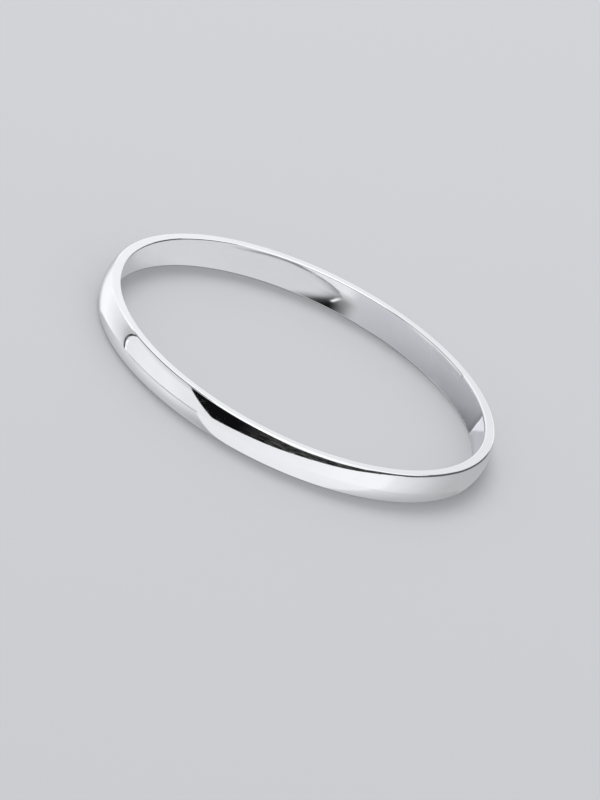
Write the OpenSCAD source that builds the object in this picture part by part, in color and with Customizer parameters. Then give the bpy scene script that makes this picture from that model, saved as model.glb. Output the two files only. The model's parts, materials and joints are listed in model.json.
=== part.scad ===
// Plain round kada bangle, one closed silver ring: a flat bore, flat rims and a domed outside.
// The bangle lies on its lower rim at z = 0, and its bore runs along Z.

/* [Bangle] */
// Clear diameter of the hole for the hand, a bangle of size 2-6
inner_d = 60.3; // [50:0.1:76]
// Height of the band along the bore
band_w = 5; // [3:0.25:12]
// Thickness of the band at each flat rim, before its edges are eased
rim_t = 1.5; // [0.9:0.05:3]
// Rise of the domed outside above the line that joins its two rims
crown_h = 0.55; // [0.3:0.05:1.2]

/* [Edges] */
// Radius that eases the outer edges, where the dome meets the rims
outer_edge_r = 0.3; // [0.1:0.05:0.4]
// Radius that eases the inner edges, where the bore meets the rims
inner_edge_r = 0.2; // [0.05:0.05:0.4]

/* [Hidden] */
$fn = 180;
// How far an edge's arc stands past the two faces that it eases, so that it crosses both
touch = 0.001;

inner_r = inner_d / 2;
rim_r = inner_r + rim_t;
mid_z = band_w / 2;
// The dome is an arc through both rims and the crown
dome_r = (mid_z * mid_z + crown_h * crown_h) / (2 * crown_h);
dome_x = rim_r + crown_h - dome_r;
// Centre of an outer edge's arc, which touches the dome and the rim from inside
outer_edge_z = mid_z - outer_edge_r + touch;
outer_edge_x = dome_x + sqrt(pow(dome_r - outer_edge_r + touch, 2) - pow(outer_edge_z, 2));
outer_edge_angle = atan2(outer_edge_z, outer_edge_x - dome_x);
// Centre of an inner edge's arc, which touches the bore and the rim from inside
inner_edge_x = inner_r + inner_edge_r - touch;
inner_edge_z = mid_z - inner_edge_r + touch;

// What a rounded edge takes off a corner, between two directions seen from the centre of its arc
module edge_waste(r, from_angle, to_angle) {
    reach = 3 * r;
    half = (to_angle - from_angle) / 2;
    middle = from_angle + half;
    difference() {
        polygon([
            [0, 0],
            reach * [cos(from_angle), sin(from_angle)],
            reach / cos(half) * [cos(middle), sin(middle)],
            reach * [cos(to_angle), sin(to_angle)]
        ]);
        circle(r = r);
    }
}

// Section of the band, with its distance from the axis as x and its middle height at y = 0
module band_section() {
    difference() {
        intersection() {
            translate([dome_x, 0]) circle(r = dome_r);
            translate([inner_r, -mid_z]) square([rim_t + 2 * crown_h, band_w]);
        }
        for (end = [0, 1]) mirror([0, end]) {
            translate([outer_edge_x, outer_edge_z]) edge_waste(outer_edge_r, outer_edge_angle, 90);
            translate([inner_edge_x, inner_edge_z]) edge_waste(inner_edge_r, 90, 180);
        }
    }
}

// The whole bangle, one solid ring with no seam
module band() {
    color("silver")
        translate([0, 0, mid_z])
            rotate_extrude() band_section();
}

band();
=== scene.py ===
import json
import math

import bpy
import numpy as np
from mathutils import Matrix, Vector


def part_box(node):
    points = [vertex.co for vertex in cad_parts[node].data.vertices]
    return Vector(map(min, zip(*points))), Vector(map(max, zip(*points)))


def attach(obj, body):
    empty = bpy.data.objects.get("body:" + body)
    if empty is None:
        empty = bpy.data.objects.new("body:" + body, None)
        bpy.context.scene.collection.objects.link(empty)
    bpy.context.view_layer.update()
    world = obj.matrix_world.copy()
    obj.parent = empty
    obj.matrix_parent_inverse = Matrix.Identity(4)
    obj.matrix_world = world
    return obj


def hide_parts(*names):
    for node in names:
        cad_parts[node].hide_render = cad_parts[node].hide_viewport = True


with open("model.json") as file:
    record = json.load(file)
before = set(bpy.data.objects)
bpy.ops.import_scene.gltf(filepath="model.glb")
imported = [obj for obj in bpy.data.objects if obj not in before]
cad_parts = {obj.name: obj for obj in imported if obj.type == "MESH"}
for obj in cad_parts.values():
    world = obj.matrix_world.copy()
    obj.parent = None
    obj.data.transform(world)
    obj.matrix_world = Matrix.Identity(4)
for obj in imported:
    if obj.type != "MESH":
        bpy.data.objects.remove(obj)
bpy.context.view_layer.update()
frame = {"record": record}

MM = 0.001

# Band: the bore and the overall size come from the frame, and only its section's details are named here
BORE_RADIUS = next(m for m in frame["record"]["mounts"] if m["name"] == "wrist_bore")["dims"]["r_mm"] * MM
BAND_LOW, BAND_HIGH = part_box("band")
BAND_HEIGHT = BAND_HIGH.z - BAND_LOW.z
CROWN_RADIUS = (BAND_HIGH.x - BAND_LOW.x) / 2
CROWN_RISE = 0.55 * MM
OUTER_EDGE_RADIUS = 0.3 * MM
INNER_EDGE_RADIUS = 0.2 * MM
SEGMENTS_ROUND = 900
RIM_STEPS, OUTER_EDGE_STEPS, DOME_STEPS, INNER_EDGE_STEPS, BORE_STEPS = 7, 8, 40, 6, 25
# A normal that is steeper than this belongs to an edge or a rim, and the gain makes an edge's middle full
EDGE_STEEPNESS = 0.45
EDGE_GAIN = 2.4
# Hairlines are long in two directions and thin in the third, in steps per millimetre
HAIRLINE_SCALE = (0.05, 0.05, 2.4)
# Share of each bake strip's height that the section fills, after a margin
BAKE_MARGIN, BAKE_FILL = 0.01, 0.98

# Photograph: where the bangle is in its 600 by 800 picture, and how the camera looks at it
PICTURE_WIDTH, PICTURE_HEIGHT = 600, 800
CENTRE_IN_PICTURE = (297.1, 366.8)
BORE_RADIUS_IN_PICTURE = 199.7
CAMERA_ELEVATION = math.radians(24.33)
CAMERA_ROLL = math.radians(26.68)
CAMERA_DISTANCE = 60 * BORE_RADIUS
SENSOR_MM = 36

# Stage: steps of its cards and circles, the floor's radius, and how far the strip of floor that the silver
# mirrors keeps from the inner and the outer side of the rim that stands on it
CARD_STEPS = 120
CIRCLE_STEPS = 256
FLOOR_RADIUS = 4
STRIP_INSETS = (0.05 * MM, 0.1 * MM)
# Soft light that casts the shadow: its azimuth and elevation in degrees, distance, width and power
KEY_DIRECTION = (-140, 55)
KEY_DISTANCE = 1.5
KEY_WIDTH = 0.9
KEY_WATTS = 12


def smooth(values, low, high):
    """A soft step from 0 at low to 1 at high, which may be the smaller of the two."""
    share = np.clip((np.asarray(values, float) - low) / (high - low), 0, 1)
    return share * share * (3 - 2 * share)


def new_material(name, shader_type="ShaderNodeBsdfPrincipled"):
    """An empty node material with its output, and a shader wired to it."""
    material = bpy.data.materials.new(name)
    material.use_nodes = True
    nodes = material.node_tree.nodes
    nodes.clear()
    shader = nodes.new(shader_type)
    output = nodes.new("ShaderNodeOutputMaterial")
    material.node_tree.links.new(shader.outputs[0], output.inputs[0])
    return material, shader


def arc(centre, radius, start, end, steps):
    """Points and outward directions along an arc in the section's plane, with angles in degrees."""
    angles = np.radians(np.linspace(start, end, steps + 1))
    outward = np.stack([np.cos(angles), np.sin(angles)], 1)
    return np.array(centre) + radius * outward, outward


def straight(start, end, outward, steps):
    """Points strictly between the two ends of a straight side, and its outward direction."""
    share = np.linspace(0, 1, steps + 1)[1:-1, None]
    points = np.array(start) * (1 - share) + np.array(end) * share
    return points, np.tile(outward, (len(points), 1))


def band_section():
    """The D-shaped section as (distance from the axis, height): lower rim, dome, upper rim and bore."""
    middle = BAND_HEIGHT / 2
    dome_radius = (middle**2 + CROWN_RISE**2) / (2 * CROWN_RISE)
    dome_x = CROWN_RADIUS - dome_radius
    outer_z = middle - OUTER_EDGE_RADIUS
    outer_x = dome_x + math.sqrt((dome_radius - OUTER_EDGE_RADIUS) ** 2 - outer_z**2)
    meets = math.degrees(math.atan2(outer_z, outer_x - dome_x))
    inner_x = BORE_RADIUS + INNER_EDGE_RADIUS
    inner_z = middle - INNER_EDGE_RADIUS
    sides = [
        straight((inner_x, -middle), (outer_x, -middle), (0, -1), RIM_STEPS),
        arc((outer_x, -outer_z), OUTER_EDGE_RADIUS, -90, -meets, OUTER_EDGE_STEPS),
        [x[1:-1] for x in arc((dome_x, 0), dome_radius, -meets, meets, DOME_STEPS)],
        arc((outer_x, outer_z), OUTER_EDGE_RADIUS, meets, 90, OUTER_EDGE_STEPS),
        straight((outer_x, middle), (inner_x, middle), (0, 1), RIM_STEPS),
        arc((inner_x, inner_z), INNER_EDGE_RADIUS, 90, 180, INNER_EDGE_STEPS),
        straight((BORE_RADIUS, inner_z), (BORE_RADIUS, -inner_z), (-1, 0), BORE_STEPS),
        arc((inner_x, -inner_z), INNER_EDGE_RADIUS, 180, 270, INNER_EDGE_STEPS),
    ]
    points = np.concatenate([s[0] for s in sides]) + [0, middle]
    outward = np.concatenate([s[1] for s in sides])
    return points, outward


def make_band():
    """The whole ring as one closed mesh, turned from its section, with exact normals."""
    points, outward = band_section()
    across = len(points)
    turn = np.linspace(0, 2 * math.pi, SEGMENTS_ROUND, endpoint=False)
    cos, sin = np.cos(turn)[:, None], np.sin(turn)[:, None]
    places = np.stack([points[:, 0] * cos, points[:, 0] * sin, points[:, 1] + 0 * cos], 2)
    normals = np.stack([outward[:, 0] * cos, outward[:, 0] * sin, outward[:, 1] + 0 * cos], 2)
    ring, step = np.meshgrid(np.arange(SEGMENTS_ROUND), np.arange(across), indexing="ij")
    corners = [(ring, step), (ring + 1, step), (ring + 1, step + 1), (ring, step + 1)]
    faces = np.stack([r % SEGMENTS_ROUND * across + s % across for r, s in corners], 2).reshape(-1, 4)
    mesh = bpy.data.meshes.new("polished_band")
    mesh.from_pydata(places.reshape(-1, 3).tolist(), [], faces.tolist())
    mesh.shade_smooth()
    mesh.normals_split_custom_set_from_vertices(normals.reshape(-1, 3).tolist())
    steps = np.linalg.norm(points - np.roll(points, 1, 0), axis=1)
    length = np.append(np.cumsum(steps) - steps[0], steps.sum())
    add_bake_map(mesh, ring, corners, length)
    add_lay(mesh, places, length[:-1], outward)
    band = bpy.data.objects.new("polished_band", mesh)
    bpy.context.collection.objects.link(band)
    return band


def add_bake_map(mesh, ring, corners, length):
    """Unrolls the ring into four strips, one for each quarter turn, that fill the unit square."""
    quarter = SEGMENTS_ROUND // 4
    strip = ring // quarter
    along = [(r - strip * quarter) / quarter for r, s in corners]
    up = [(strip + BAKE_MARGIN + BAKE_FILL * length[s] / length[-1]) / 4 for r, s in corners]
    layer = mesh.uv_layers.new(name="OFBake")
    layer.data.foreach_set("uv", np.stack([np.stack(along, 2), np.stack(up, 2)], 3).ravel())


def add_lay(mesh, places, length, outward):
    """Gives the silver its lay, in millimetres with the way round the section as z, and its edges."""
    lay = np.stack([places[..., 0], places[..., 1], length + 0 * places[..., 0]], 2) / MM
    mesh.attributes.new("lay", "FLOAT_VECTOR", "POINT").data.foreach_set("vector", lay.ravel())
    corner = np.abs(outward[:, 0] * outward[:, 1]) * (np.abs(outward[:, 1]) > EDGE_STEEPNESS)
    edge = np.tile(np.clip(corner * EDGE_GAIN, 0, 1), SEGMENTS_ROUND)
    mesh.attributes.new("edge", "FLOAT", "POINT").data.foreach_set("value", edge)


def attribute(tree, name, output):
    """A stored attribute of the mesh."""
    node = tree.nodes.new("ShaderNodeAttribute")
    node.attribute_name = name
    return node.outputs[output]


def stretched(tree, place, scale, turn=(0, 0, 0)):
    """A texture's place, turned and then stretched, with the turn in degrees."""
    turned = tree.nodes.new("ShaderNodeVectorRotate")
    turned.rotation_type = "EULER_XYZ"
    turned.inputs["Rotation"].default_value = [math.radians(t) for t in turn]
    tree.links.new(place, turned.inputs["Vector"])
    node = tree.nodes.new("ShaderNodeVectorMath")
    node.operation = "MULTIPLY"
    tree.links.new(turned.outputs[0], node.inputs[0])
    node.inputs[1].default_value = scale
    return node.outputs[0]


def noise(tree, place, detail=2, roughness=0.5, distortion=0):
    """Noise of unit size at a place, as a factor of about 0.3 to 0.7."""
    node = tree.nodes.new("ShaderNodeTexNoise")
    node.inputs["Scale"].default_value = 1
    node.inputs["Detail"].default_value = detail
    node.inputs["Roughness"].default_value = roughness
    node.inputs["Distortion"].default_value = distortion
    tree.links.new(place, node.inputs["Vector"])
    return node.outputs["Fac"]


def spread(tree, value, low, high, to_low=0, to_high=1, interpolation="SMOOTHSTEP"):
    """Maps a value from one range to another and holds it there."""
    node = tree.nodes.new("ShaderNodeMapRange")
    node.interpolation_type = interpolation
    for name, number in (("From Min", low), ("From Max", high), ("To Min", to_low), ("To Max", to_high)):
        node.inputs[name].default_value = number
    tree.links.new(value, node.inputs["Value"])
    return node.outputs["Result"]


def math_node(tree, operation, first, second):
    """One step of arithmetic between sockets or numbers."""
    node = tree.nodes.new("ShaderNodeMath")
    node.operation = operation
    for socket, value in zip(node.inputs, (first, second)):
        if isinstance(value, bpy.types.NodeSocket):
            tree.links.new(value, socket)
        else:
            socket.default_value = value
    return node.outputs[0]


def hairlines(tree, place, turn, width, where):
    """Thin straight lines where a stretched noise passes its middle, kept only in some places."""
    line = noise(tree, stretched(tree, place, HAIRLINE_SCALE, turn), 1)
    away = math_node(tree, "ABSOLUTE", math_node(tree, "SUBTRACT", line, 0.5), 0)
    thin = spread(tree, away, width, 0)
    return math_node(tree, "MULTIPLY", thin, where)


def bumped(tree, height, distance, under=None):
    """A bump of a height that runs from 0 to 1 over a real distance, on top of another one."""
    node = tree.nodes.new("ShaderNodeBump")
    node.inputs["Distance"].default_value = distance
    tree.links.new(height, node.inputs["Height"])
    if under is not None:
        tree.links.new(under, node.inputs["Normal"])
    return node.outputs[0]


def silver():
    """Hand-polished silver: buffing lines round the band, hairlines, soft smudges and worn edges."""
    material, shader = new_material("polished_silver")
    tree = material.node_tree
    lay = attribute(tree, "lay", "Vector")
    edge = attribute(tree, "edge", "Fac")
    # Patterns on the silver, with their scales in steps per millimetre
    buffing = noise(tree, stretched(tree, lay, (0.1, 0.1, 11)), 3, 0.6)
    smudge = noise(tree, stretched(tree, lay, (0.16, 0.16, 0.3)), 4, 0.6, 0.6)
    patches = noise(tree, stretched(tree, lay, (0.45, 0.45, 0.7), (20, 0, 40)), 2)
    some = spread(tree, patches, 0.53, 0.6)
    others = spread(tree, patches, 0.46, 0.4)
    scratches = hairlines(tree, lay, (4, 3, 0), 0.006, some)
    for turn, where in (((0, 31, 0), others), ((-38, 17, 0), some), ((24, -30, 0), others)):
        scratches = math_node(tree, "MAXIMUM", scratches, hairlines(tree, lay, turn, 0.004, where))
    nicks = spread(tree, noise(tree, stretched(tree, lay, (1.5, 1.5, 3)), 3, 0.65), 0.58, 0.68)
    nicks = math_node(tree, "MULTIPLY", nicks, edge)
    marks = math_node(tree, "MAXIMUM", nicks, math_node(tree, "MULTIPLY", scratches, 0.5))

    # Colour: silver with a faint uneven tarnish, darker in its marks and brightest on worn edges
    smudged = spread(tree, smudge, 0.35, 0.65)
    tarnish = mix_colour(tree, smudged, (0.932, 0.933, 0.936, 1), (0.955, 0.954, 0.952, 1))
    worn = mix_colour(tree, edge, tarnish, (0.965, 0.965, 0.964, 1))
    tree.links.new(mix_colour(tree, marks, worn, (0.87, 0.87, 0.875, 1)), shader.inputs["Base Color"])

    # Roughness: a mirror polish, a little softer on smudges, buffing lines and marks
    roughness = spread(tree, smudge, 0.36, 0.68, 0.03, 0.058)
    roughness = math_node(tree, "ADD", roughness, spread(tree, buffing, 0.35, 0.7, -0.006, 0.012))
    roughness = math_node(tree, "ADD", roughness, math_node(tree, "MULTIPLY", marks, 0.12))
    tree.links.new(roughness, shader.inputs["Roughness"])

    # Relief, in metres: slow waves from polishing, then buffing lines, then scratches and nicks
    waves = bumped(tree, noise(tree, stretched(tree, lay, (0.13, 0.13, 0.3)), 1), 14e-6)
    brushed = bumped(tree, buffing, 2.5e-7, waves)
    dents = math_node(tree, "SUBTRACT", 1, math_node(tree, "MAXIMUM", scratches, nicks))
    tree.links.new(bumped(tree, dents, 6e-7, brushed), shader.inputs["Normal"])
    shader.inputs["Metallic"].default_value = 1
    return material


def direction(azimuth, elevation):
    """A direction from the bangle, in degrees: azimuth 0 is towards the camera, 90 is to its right."""
    a, e = math.radians(azimuth), math.radians(elevation)
    return Vector((math.sin(a) * math.cos(e), -math.cos(a) * math.cos(e), math.sin(e)))


def glow(name, colour):
    """A stage material that only shines, and that no light sampling looks for; returned with its shader."""
    material, shader = new_material(name, "ShaderNodeEmission")
    shader.inputs["Color"].default_value = (*colour, 1)
    material.cycles.emission_sampling = "NONE"
    return material, shader


def flat(name, colour):
    """A stage material of one tone."""
    return glow(name, colour)[0]


def object_place(tree):
    """The place on an object, in its own frame and in metres."""
    return tree.nodes.new("ShaderNodeTexCoord").outputs["Object"]


def axis_of(tree, place, axis):
    """One of a place's three coordinates, by its letter."""
    split = tree.nodes.new("ShaderNodeSeparateXYZ")
    tree.links.new(place, split.inputs[0])
    return split.outputs[axis]


def tinted(tree, level):
    """A grey level in the tint of the studio's light."""
    return mix_colour(tree, 1, level, (*STUDIO_TINT, 1), "MULTIPLY")


def fading(name, low, high, low_level, high_level):
    """A stage material that shines less or more between two heights, in metres."""
    material, shader = glow(name, (0, 0, 0))
    tree = material.node_tree
    level = spread(tree, axis_of(tree, object_place(tree), "Z"), low, high, low_level, high_level)
    tree.links.new(tinted(tree, level), shader.inputs["Color"])
    return material


def stage_object(mesh, material, only_mirrored):
    """An object of the stage; only_mirrored ones are seen in the silver and nowhere else."""
    mesh.materials.append(material)
    made = bpy.data.objects.new(mesh.name, mesh)
    bpy.context.collection.objects.link(made)
    if only_mirrored:
        made.visible_camera = False
        made.visible_diffuse = False
        made.visible_shadow = False
    return made


def make_camera():
    """The camera looks at the bangle as the photograph's does: same elevation, roll, size and place."""
    sin, cos = math.sin(CAMERA_ELEVATION), math.cos(CAMERA_ELEVATION)
    ahead = Vector((0, cos, -sin))
    level_right = Vector((1, 0, 0))
    level_down = ahead.cross(level_right)
    right = level_right * math.cos(CAMERA_ROLL) - level_down * math.sin(CAMERA_ROLL)
    down = level_right * math.sin(CAMERA_ROLL) + level_down * math.cos(CAMERA_ROLL)
    focal_px = BORE_RADIUS_IN_PICTURE * CAMERA_DISTANCE / BORE_RADIUS
    off_right = (CENTRE_IN_PICTURE[0] - PICTURE_WIDTH / 2) / focal_px * CAMERA_DISTANCE
    off_down = (CENTRE_IN_PICTURE[1] - PICTURE_HEIGHT / 2) / focal_px * CAMERA_DISTANCE
    centre = Vector((0, 0, BAND_HEIGHT / 2))
    place = centre - ahead * CAMERA_DISTANCE - right * off_right - down * off_down
    data = bpy.data.cameras.new("camera")
    data.sensor_width = SENSOR_MM
    data.lens = focal_px * SENSOR_MM / max(PICTURE_WIDTH, PICTURE_HEIGHT)
    data.clip_end = 20
    camera = bpy.data.objects.new("camera", data)
    turn = Matrix((right, -down, -ahead)).transposed()
    camera.matrix_world = Matrix.Translation(place) @ turn.to_4x4()
    bpy.context.collection.objects.link(camera)
    bpy.context.scene.camera = camera


def band_card(name, outline, distance, material):
    """A far stage card between two elevations along its length, from (azimuth, low, high) in degrees."""
    azimuths, lows, highs = np.array(outline, float).T
    steps = np.linspace(azimuths[0], azimuths[-1], CARD_STEPS + 1)
    edges = [(a, np.interp(a, azimuths, side)) for side in (lows, highs) for a in steps]
    mesh = bpy.data.meshes.new(name)
    faces = [(i, i + 1, i + CARD_STEPS + 2, i + CARD_STEPS + 1) for i in range(CARD_STEPS)]
    mesh.from_pydata([direction(*e) * distance for e in edges], [], faces)
    return stage_object(mesh, material, True)


def mesh_card(name, rows, distance, material):
    """A far stage card through rows of two directions each, as (azimuth, elevation) in degrees."""
    corners = [direction(*c) * distance for row in rows for c in row]
    faces = [(2 * i, 2 * i + 2, 2 * i + 3, 2 * i + 1) for i in range(len(rows) - 1)]
    mesh = bpy.data.meshes.new(name)
    mesh.from_pydata(corners, [], faces)
    return stage_object(mesh, material, True)


def ring_mesh(name, inner, outer):
    """A flat ring on the floor plane, between two radii, or a disc where the inner one is 0."""
    turn = np.linspace(0, 2 * math.pi, CIRCLE_STEPS, endpoint=False)
    circle = np.stack([np.cos(turn), np.sin(turn), 0 * turn], 1)
    mesh = bpy.data.meshes.new(name)
    if inner == 0:
        mesh.from_pydata((circle * outer).tolist(), [], [list(range(CIRCLE_STEPS))])
        return mesh
    here = np.arange(CIRCLE_STEPS)
    after = (here + 1) % CIRCLE_STEPS
    faces = np.stack([here, here + CIRCLE_STEPS, after + CIRCLE_STEPS, after], 1)
    mesh.from_pydata(np.concatenate([circle * inner, circle * outer]).tolist(), [], faces.tolist())
    return mesh


def make_floor():
    """A pale floor, of which the silver mirrors only the strip that the band stands on."""
    material, shader = new_material("studio_floor")
    shader.inputs["Base Color"].default_value = (*FLOOR_COLOUR, 1)
    shader.inputs["Roughness"].default_value = 0.5
    shader.inputs["Specular IOR Level"].default_value = 0.3
    strip_low = BORE_RADIUS + STRIP_INSETS[0]
    strip_high = CROWN_RADIUS - CROWN_RISE - STRIP_INSETS[1]
    stage_object(ring_mesh("studio_floor_strip", strip_low, strip_high), material, False)
    unmirrored = (("studio_floor_inside", 0, strip_low), ("studio_floor", strip_high, FLOOR_RADIUS))
    for name, low, high in unmirrored:
        part = stage_object(ring_mesh(name, low, high), material, False)
        part.visible_glossy = False


def ramp(tree, fac, stops, low=-180, high=180):
    """A colour ramp of grey levels from (place, level) pairs, for a factor that runs from low to high."""
    node = tree.nodes.new("ShaderNodeValToRGB")
    elements = node.color_ramp.elements
    while len(elements) < len(stops):
        elements.new(0.5)
    for element, (place, level) in zip(elements, stops):
        element.position = (place - low) / (high - low)
        element.color = (level, level, level, 1)
    tree.links.new(fac, node.inputs["Fac"])
    return node.outputs["Color"]


def mix_colour(tree, factor, first, second, blend_type="MIX"):
    """Mixes two colour sockets by a factor, a socket or a number."""
    mix = tree.nodes.new("ShaderNodeMix")
    mix.data_type = "RGBA"
    mix.blend_type = blend_type
    for socket, value in ((mix.inputs["Factor"], factor), (mix.inputs[6], first), (mix.inputs[7], second)):
        if isinstance(value, bpy.types.NodeSocket):
            tree.links.new(value, socket)
        else:
            socket.default_value = value
    return mix.outputs[2]


def blend(tree, height, span, below, above):
    """Mixes from one colour to the other over a span of elevations, in degrees."""
    low, high = (math.sin(math.radians(e)) for e in span)
    return mix_colour(tree, spread(tree, height, low, high), below, above)


# The studio's light in five layers, each as (azimuth in degrees, level). First its walls
WALLS = [
    (-180, 0.5), (-165, 0.52), (-157, 0.7), (-150, 1.0), (-132, 1.05), (-120, 0.95), (-112, 0.85),
    (-106, 0.77), (-101, 0.66), (-97.2, 0.5), (-96.8, 0.86), (-84, 0.89), (-60, 0.93), (-45, 0.86),
    (-20, 0.87), (0, 0.91), (24, 0.94), (48, 1.0), (62, 1.0), (72.5, 1.0), (77.5, 0.88), (84, 0.82),
    (96, 0.7), (108, 0.58), (120, 0.51), (150, 0.49), (168, 0.5), (180, 0.5),
]
# Low surroundings, under the walls
LOW = [
    (-180, 0.5), (-150, 0.5), (-132, 0.59), (-108, 0.7), (-84, 0.8), (-62, 0.88), (-52, 0.8), (-39.2, 0.7),
    (-38.2, 0.89), (0, 0.91), (36, 0.94), (70, 0.96), (74, 0.8), (84, 0.7), (108, 0.55), (132, 0.46),
    (156, 0.42), (180, 0.5),
]
# What lies nearly straight down
DEEP = [
    (-180, 0.42), (-108, 0.5), (-84, 0.56), (-60, 0.52), (-39.2, 0.42), (-38.2, 0.87), (0, 0.9), (36, 0.91),
    (68, 0.88), (74, 0.66), (108, 0.48), (180, 0.42),
]
# Ceiling light
CEILING = [
    (-180, 0.905), (-178.5, 0.97), (-170, 1.0), (-90, 0.95), (0, 1.0), (90, 0.93), (170, 0.8), (178.5, 0.84),
    (180, 0.905),
]
# Light from overhead
OVERHEAD = [
    (-180, 1.28), (-150, 1.25), (-128, 1.0), (-42, 1.0), (-12, 1.28), (55, 1.28), (78, 0.88), (130, 0.9),
    (150, 1.28), (180, 1.28),
]
# Level of what lies straight down, which the lower edge of the dome mirrors
STRAIGHT_DOWN = 0.3
# Elevations over which one layer passes into the next, in degrees
DOWN_TO_DEEP, DEEP_TO_LOW, LOW_TO_WALLS = (-77, -72.5), (-62, -30), (-31, -29.5)
WALLS_TO_CEILING, CEILING_TO_OVERHEAD = (14, 24), (32, 44)
# Tints of the studio's light and of the painted reflection that the right part of the bore mirrors
STUDIO_TINT = (0.955, 0.968, 1.0)
COOL_TINT = (0.94, 0.955, 1.03)
# Colour of the pale floor
FLOOR_COLOUR = (0.435, 0.439, 0.446)


def make_world():
    """A soft studio all round, brighter and dimmer by direction."""
    world = bpy.data.worlds.new("studio")
    bpy.context.scene.world = world
    world.use_nodes = True
    world.cycles.sampling_method = "NONE"
    tree = world.node_tree
    nodes, links = tree.nodes, tree.links
    nodes.clear()
    # The gradient runs over the azimuths from -180 to 180 degrees, with 0 towards the camera
    place = nodes.new("ShaderNodeTexCoord").outputs["Generated"]
    turn = nodes.new("ShaderNodeMapping")
    turn.inputs["Rotation"].default_value = (0, 0, math.radians(90))
    links.new(place, turn.inputs["Vector"])
    radial = nodes.new("ShaderNodeTexGradient")
    radial.gradient_type = "RADIAL"
    links.new(turn.outputs[0], radial.inputs["Vector"])
    azimuth = radial.outputs["Fac"]
    height = axis_of(tree, place, "Z")
    below = blend(tree, height, DEEP_TO_LOW, ramp(tree, azimuth, DEEP), ramp(tree, azimuth, LOW))
    level = blend(tree, height, LOW_TO_WALLS, below, ramp(tree, azimuth, WALLS))
    level = blend(tree, height, DOWN_TO_DEEP, (STRAIGHT_DOWN, STRAIGHT_DOWN, STRAIGHT_DOWN, 1), level)
    level = blend(tree, height, WALLS_TO_CEILING, level, ramp(tree, azimuth, CEILING))
    level = blend(tree, height, CEILING_TO_OVERHEAD, level, ramp(tree, azimuth, OVERHEAD))
    background = nodes.new("ShaderNodeBackground")
    output = nodes.new("ShaderNodeOutputWorld")
    links.new(tinted(tree, level), background.inputs["Color"])
    links.new(background.outputs[0], output.inputs[0])


# How far the far bore's painted reflection card lies under the floor; the left disc lies twice as deep
UNDER_FLOOR_DROP = 0.3 * MM
# Tones of the painted reflection cards under the floor, by distance to the right of the middle, as
# (millimetres, level)
UNDER_LEFT = [(-30, 0.45), (-27, 0.49), (-24, 0.64), (-20, 0.7), (0, 0.68), (30, 0.66)]
UNDER_RIGHT = [
    (0, 0.61), (3, 0.55), (8, 0.5), (13, 0.45), (18, 0.395), (21, 0.36), (23, 0.31), (25, 0.25), (28, 0.2),
]
# Where the left tone ends on the far bore, in the shape of a tongue, as (share of the bore's height, angle).
# The angle is 0 at the right and 90 at the far side
BORE_TONGUE = [
    (0, 96), (0.1, 94), (0.2, 92.3), (0.3, 91), (0.4, 90), (0.5, 89), (0.57, 87.2), (0.61, 88),
    (0.67, 88.7), (1, 89),
]
# How much lighter the right tone is at the top of the bore than at its foot
RIGHT_RISE = 0.05
# Where the tongue ends towards the upper rim, as (angle, share of the bore's height)
TONGUE_TOP = [
    (87, 0.655), (90, 0.74), (92.5, 0.82), (95.5, 0.885), (98.5, 0.935), (102, 0.975), (106, 1.02),
    (130, 1.02),
]
# Angles that the far bore's tones are drawn for
BORE_ANGLES = (52, 130)
# The deeper card, a painted reflection that the right end of the bore mirrors: its drop and its angles
RIGHT_DROP = 10 * MM
RIGHT_ANGLES = (2, 56)
# How far a ray from the top of the bore is taken to run before it crosses the floor
FLOOR_REACH_MM = 9
# Steps of these two cards, round the bore and up it
TONE_ROWS, TONE_COLUMNS = 381, 97
# The half disc, a painted reflection that the left end of the bore mirrors: its angles, its steps and the
# width of its tones in mm
LEFT_ANGLES = (85, 275)
LEFT_STEPS = 96
LEFT_REACH_MM = 31


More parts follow.
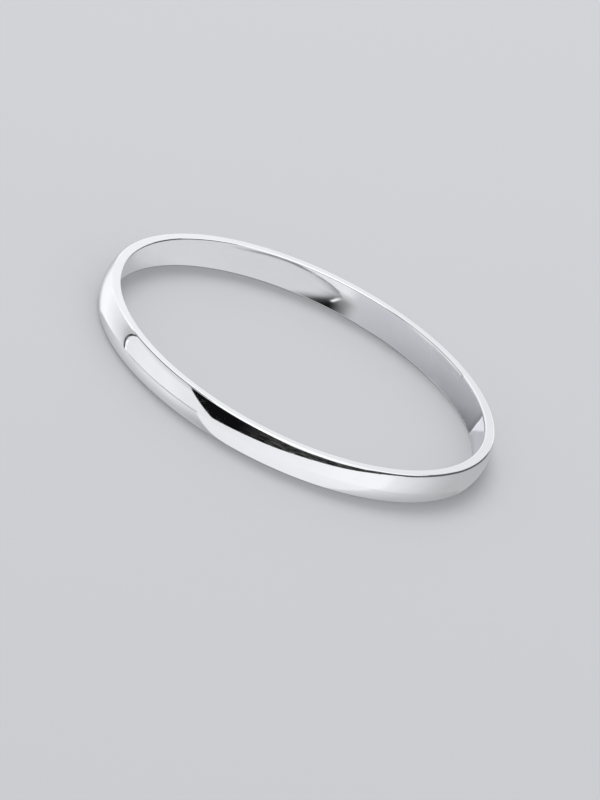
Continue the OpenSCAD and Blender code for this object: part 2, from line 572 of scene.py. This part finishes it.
def far_bore_painted_reflection(angle, share, x):
    """The painted reflection that the far bore shows: its tone by angle, by share of its height and by where
    its rays land.
    """
    tongue = np.interp(share, *zip(*BORE_TONGUE))
    under_top = np.interp(angle, *zip(*TONGUE_TOP)) - share
    left = np.interp(x, *zip(*UNDER_LEFT))
    # A painted shade beside the tongue's tip, and two painted shades along its foot
    border = np.exp(-((np.maximum(angle - tongue, 0) / 3.4) ** 2)) * smooth(share, 0.25, 0.52)
    foot = 0.11 + 0.037 * (99 - angle)
    deep = 0.02 + 0.055 * (97 - angle)
    left = left * (1 - 0.42 * border) * (1 - 0.5 * smooth(share, foot + 0.12, foot - 0.12))
    left = left * (1 - 0.7 * smooth(share, deep + 0.12, deep - 0.1))
    # A painted dark line along the tongue's upper edge, with a soft painted shade below it near the tip
    width = np.interp(angle, [98, 106, 117, 128], [0.03, 0.08, 0.08, 0.04])
    line = smooth(under_top, width + 0.03, width) * smooth(angle, 88, 96) * smooth(angle, 129, 124)
    shade = smooth(under_top, 0.25, 0) * smooth(angle, 104, 94) * smooth(angle, 86, 90)
    left = left * (1 - np.interp(angle, [94, 104], [0.47, 0.62]) * line) * (1 - 0.22 * shade)
    # The right tone, with a painted shade, the painted white highlight above the tip and the painted dark
    # spot below it
    right = np.interp(x, *zip(*UNDER_RIGHT)) + RIGHT_RISE * share
    right = right * (1 - 0.42 * smooth(angle, 81, 86) * smooth(share, 0.68, 0.42))
    white = smooth(angle, 82, 87) * smooth(share, 0.64, 0.77)
    right = right + (0.86 - right) * white
    painted_dark_spot = smooth(angle, 83, 90.2) * smooth(share, 0.65, 0.14)
    right = right * (1 - 0.97 * painted_dark_spot)
    # The left tone inside the tongue and the right one outside it, with a softer border near the foot
    soft = 0.5 + 3.5 * smooth(share, 0.4, 0.05)
    inside = smooth(angle, tongue - soft, tongue + soft) * smooth(under_top, -0.012, 0.012)
    tone = right + (left - right) * inside
    # The bright sliver under the tip, a painted highlight
    across = angle - np.interp(share, [0.27, 0.55], [89.8, 87.4])
    sliver = np.exp(-((across / 0.5) ** 2)) * smooth(share, 0.24, 0.32) * smooth(share, 0.54, 0.42)
    return tone + (1.05 - tone) * sliver


def right_bore_painted_reflection(angle, share, x):
    """The painted reflection that the right end of the bore shows: darkening grey, a painted bright corner
    and a grey end.
    """
    # This card lies deep, so x, where the rays land on it, gives way to where they would cross the floor
    turn = np.radians(angle)
    crossed = BORE_RADIUS / MM * np.cos(turn) - FLOOR_REACH_MM * share * np.sin(2 * turn)
    grey = np.interp(crossed, *zip(*UNDER_RIGHT)) + RIGHT_RISE * share
    # The grey part ends at a slanted edge, beside which a painted shade darkens it
    edge = 23.25 - 3.8 * share
    grey = grey * (1 - 0.22 * smooth(angle, edge + 4, edge))
    # Past the edge: a painted bright corner above a grey end, and a painted dark line under the rim
    corner = share - 0.32 - 0.059 * (20.7 - angle)
    end = 0.45 + 0.08 * smooth(share, 0, 0.3) + 0.3 * smooth(corner, -0.05, 0.05)
    end = end + 0.1 * smooth(angle, edge - 2, edge)
    end = end + (0.26 - end) * smooth(share, 0.9, 0.94)
    return grey + (end - grey) * smooth(angle, edge + 0.25, edge - 0.25)


def painted_reflection_card(name, angles, drop, tone_of):
    """A glowing card under the floor, seen only in the silver, that paints the bore's reflection as a tone
    by angle and height, seen by the photo's camera.
    """
    rows, columns = TONE_ROWS, TONE_COLUMNS
    steps_round, steps_up = np.linspace(*angles, rows), np.linspace(0, BAND_HEIGHT, columns)
    angle, height = np.meshgrid(steps_round, steps_up, indexing="ij")
    turn = np.radians(angle)
    reach = (height + drop) / math.tan(CAMERA_ELEVATION)
    x = BORE_RADIUS * np.cos(turn) - reach * np.sin(2 * turn)
    y = BORE_RADIUS * np.sin(turn) + reach * np.cos(2 * turn)
    places = np.stack([x, y, 0 * x - drop], 2).reshape(-1, 3)
    here = (np.arange(rows - 1)[:, None] * columns + np.arange(columns - 1)).ravel()
    faces = np.stack([here, here + columns, here + columns + 1, here + 1], 1)
    mesh = bpy.data.meshes.new(name)
    mesh.from_pydata(places.tolist(), [], faces.tolist())
    level = tone_of(angle, height / BAND_HEIGHT, x / MM).reshape(-1, 1)
    cool = smooth(angle, 88, 75).reshape(-1, 1)
    tint = np.array(STUDIO_TINT) * (1 - cool) + np.array(COOL_TINT) * cool
    tones = np.append(level * tint, 0 * level + 1, 1)
    colours = mesh.color_attributes.new("tone", "FLOAT_COLOR", "POINT")
    colours.data.foreach_set("color", tones.ravel())
    material, shader = glow(name, (0, 0, 0))
    tone = material.node_tree.nodes.new("ShaderNodeVertexColor")
    tone.layer_name = "tone"
    material.node_tree.links.new(tone.outputs["Color"], shader.inputs["Color"])
    stage_object(mesh, material, True)


def make_left_disc():
    """The glowing half disc that the left end of the bore mirrors, a painted reflection, lighter towards the
    middle.
    """
    material, shader = glow("left_bore_painted_reflection", (0, 0, 0))
    tree = material.node_tree
    reach = LEFT_REACH_MM * MM
    share = spread(tree, axis_of(tree, object_place(tree), "X"), -reach, reach, interpolation="LINEAR")
    level = ramp(tree, share, UNDER_LEFT, -LEFT_REACH_MM, LEFT_REACH_MM)
    tree.links.new(tinted(tree, level), shader.inputs["Color"])
    turn = np.radians(np.linspace(*LEFT_ANGLES, LEFT_STEPS))
    rim = np.stack([np.cos(turn), np.sin(turn), 0 * turn], 1) * BORE_RADIUS
    mesh = bpy.data.meshes.new("left_bore_painted_reflection")
    mesh.from_pydata(rim.tolist(), [], [list(range(LEFT_STEPS))])
    half = stage_object(mesh, material, True)
    half.location.z = -2 * UNDER_FLOOR_DROP


def painted_dark_reflection():
    """The material of the dark cards that the silver mirrors, a painted dark reflection: near black, with
    faint streaks towards the right.
    """
    material, shader = glow("painted_dark_reflection", (0, 0, 0))
    tree = material.node_tree
    place = object_place(tree)
    streaks = noise(tree, stretched(tree, place, (5, 5, 15)), 3)
    lift = spread(tree, axis_of(tree, place, "X"), -0.65, 0.4, interpolation="LINEAR")
    faint = ramp(tree, streaks, [(0.44, 0.006), (0.6, 0.085)], 0, 1)
    colour = mix_colour(tree, lift, (0.005, 0.005, 0.006, 1), faint)
    tree.links.new(colour, shader.inputs["Color"])
    return material


def make_key():
    """A wide soft light from behind and the left, which the silver does not mirror."""
    data = bpy.data.lights.new("key_softbox", "AREA")
    data.shape = "DISK"
    data.size = KEY_WIDTH
    data.energy = KEY_WATTS
    key = bpy.data.objects.new("key_softbox", data)
    key.location = direction(*KEY_DIRECTION) * KEY_DISTANCE
    key.rotation_mode = "QUATERNION"
    key.rotation_quaternion = key.location.to_track_quat("Z", "Y")
    bpy.context.collection.objects.link(key)
    key.visible_camera = False
    key.visible_glossy = False


# Cards of the stage that paint the silver's reflections, seen in it and nowhere else, in degrees. Some are
# (azimuth, low elevation, high elevation) along their length, and some are rows of two corners, each as
# (azimuth, elevation)
# The painted reflection of a long dark band, which lies round the camera
DARK_FRONT = [
    (-52, 29, 30), (-49, 22, 29), (-28, -18, 26), (-10, -11.5, 22.5), (0, -8, 21), (20, -0.5, 18.5),
    (30, 3, 18), (60, 9.6, 16.5), (70, 10.9, 16.3), (82, 10, 16),
]
# The painted dark reflection that makes the line beside the near right rim
DARK_FLAG_RIGHT = [
    (60, 16, 22), (64, 15.6, 28), (68, 15.2, 34), (72, 14.3, 39), (76, 12.5, 44), (82, 9.2, 48),
    (96, 6.2, 53), (108, 3.8, 53), (120, -1, 49), (132, -5.5, 46), (145, -10.5, 44), (153, -13.5, 42),
    (154, 33, 42), (160, 33.5, 41), (168, 32, 38), (172, 30, 34),
]
# The painted reflection of a rounded dark outline at the left end of the light panel, as (azimuth,
# elevation) of its outer side
PANEL_EDGE = [
    (-101.2, -29.5), (-99.3, -25), (-97.4, -19.5), (-95.4, -12), (-93.9, -5), (-93, -1), (-92.1, 2.7),
    (-90.7, 6.5), (-89.4, 11), (-88.8, 17),
]
PANEL_EDGE_WIDTH = 1.6
# Azimuth at which the shade beside the outline starts, where the light of the walls steps
SHADE_START = -97.2
# Azimuth at which the panel's own light ends, where it meets the studio's
PANEL_END = -88
# Where the painted bright glint inside the outline starts and ends, in azimuth from it
PANEL_GLINT = (0.6, 2)
# The painted reflection of the dark line above the panel, beside the near left rim
PANEL_TOP = [
    [(-138, 47), (-100, 29)], [(-133, 55), (-88, 31)], [(-128, 64), (-66, 36)], [(-118, 72), (-47, 44)],
    [(-95, 74), (-44, 52)], [(-60, 70), (-45, 62)],
]
# The soft painted shade down from the panel's upper side
PANEL_TOP_SHADE = [
    [(-91.5, 3), (-88, 22)], [(-70, 3), (-70, 23)], [(-50, 6), (-47, 24)], [(-42, 12), (-40, 26)],
]
# The painted grey line along the panel's foot
PANEL_FOOT = [
    [(-97, -31.8), (-97, -30.5)], [(-84, -31.4), (-84, -30)], [(-60, -31), (-60, -28.6)],
    [(-38, -28.9), (-38, -26.6)],
]
# The painted grey strip along the lower edge of the dome, right of the panel's foot
LOW_LEFT = [
    [(-46, -60), (-38.7, -60)], [(-46, -64), (-37, -64)], [(-46, -67.5), (-32.3, -67.5)],
    [(-46, -70.4), (-19.4, -70.4)], [(-40, -77), (-2, -77)],
]
# The bright panel behind the bangle, a painted highlight which the outer edge of the far rim mirrors
BACK_PANEL = [(158, -2, 21), (202, -2, 21)]
# Distances of the cards, the nearer ones in front
FRONT, MIDDLE, REAR, LAST = 2.9, 2.95, 3.0, 3.05


def make_cards():
    """The glowing cards that paint the silver's reflections, its dark bands, lines, panels, shades and
    glints, for the photograph's camera.
    """
    dark = painted_dark_reflection()
    band_card("dark_front", DARK_FRONT, REAR, dark)
    band_card("dark_flag_right", DARK_FLAG_RIGHT, REAR, flat("dark_flag", (0.1, 0.102, 0.108)))
    outline = [[(a - PANEL_EDGE_WIDTH, e), (a, e)] for a, e in PANEL_EDGE]
    mesh_card("panel_edge", outline, FRONT, dark)
    mesh_card("panel_top", PANEL_TOP, FRONT, flat("panel_top", (0.09, 0.092, 0.098)))
    beside = [[(SHADE_START, e), (a, e)] for a, e in PANEL_EDGE[2:]]
    mesh_card("panel_shade", beside, MIDDLE, flat("panel_shade", (0.53, 0.54, 0.55)))
    # Painted reflections of the panel's light and of its bright glint
    light = [[(a, e), (PANEL_END, e)] for a, e in PANEL_EDGE[:8]]
    mesh_card("panel_light", light, MIDDLE, flat("panel_light", (0.83, 0.835, 0.86)))
    glint = [[(a + PANEL_GLINT[0], e), (a + PANEL_GLINT[1], e)] for a, e in PANEL_EDGE[:4]]
    mesh_card("panel_glint", glint, FRONT, flat("panel_glint", (1.1, 1.1, 1.12)))
    mesh_card("panel_top_shade", PANEL_TOP_SHADE, LAST, fading("panel_top_shade", 0.15, 0.95, 0.9, 0.66))
    mesh_card("panel_foot", PANEL_FOOT, FRONT, flat("panel_foot", (0.42, 0.42, 0.43)))
    mesh_card("low_left", LOW_LEFT, REAR, flat("low_left", (0.39, 0.395, 0.41)))
    band_card("back_panel", BACK_PANEL, FRONT, flat("back_panel", (1.04, 1.05, 1.08)))


band = make_band()
band.data.materials.append(silver())
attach(band, "root")
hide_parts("band")

make_camera()
make_floor()
make_world()
make_key()
painted_reflection_card("far_bore_tones", BORE_ANGLES, UNDER_FLOOR_DROP, far_bore_painted_reflection)
painted_reflection_card("right_bore_tones", RIGHT_ANGLES, RIGHT_DROP, right_bore_painted_reflection)
make_left_disc()
make_cards()

bpy.context.scene.view_settings.view_transform = "Standard"
